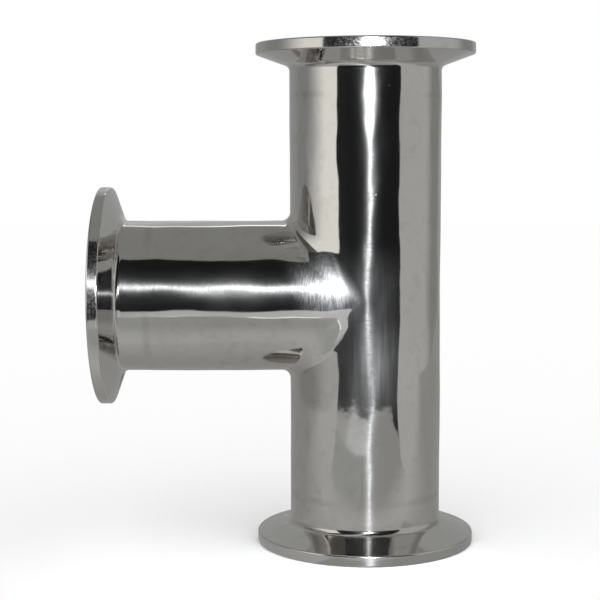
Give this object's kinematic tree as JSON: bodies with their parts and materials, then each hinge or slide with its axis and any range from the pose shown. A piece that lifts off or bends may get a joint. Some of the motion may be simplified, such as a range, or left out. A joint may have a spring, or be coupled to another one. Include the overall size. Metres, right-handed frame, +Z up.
{
  "type": "sanitary clamp tee",
  "caption": "Equal tee for sanitary tubing: a straight run with a side branch, blended where they meet, and a clamp ferrule with a gasket groove on each end, polished steel.",
  "frame": {"origin": "where the axis of the run and the axis of the branch cross", "axes": "+Z up along the run, -X out along the branch; the tee stands on the face of its lower ferrule"},
  "size_m": [0.0868, 0.0504, 0.116],
  "materials": {
    "polished_stainless": "polished"
  },
  "bodies": {
    "root": {"clamp_tee": "polished_stainless"}
  },
  "joints": []
}
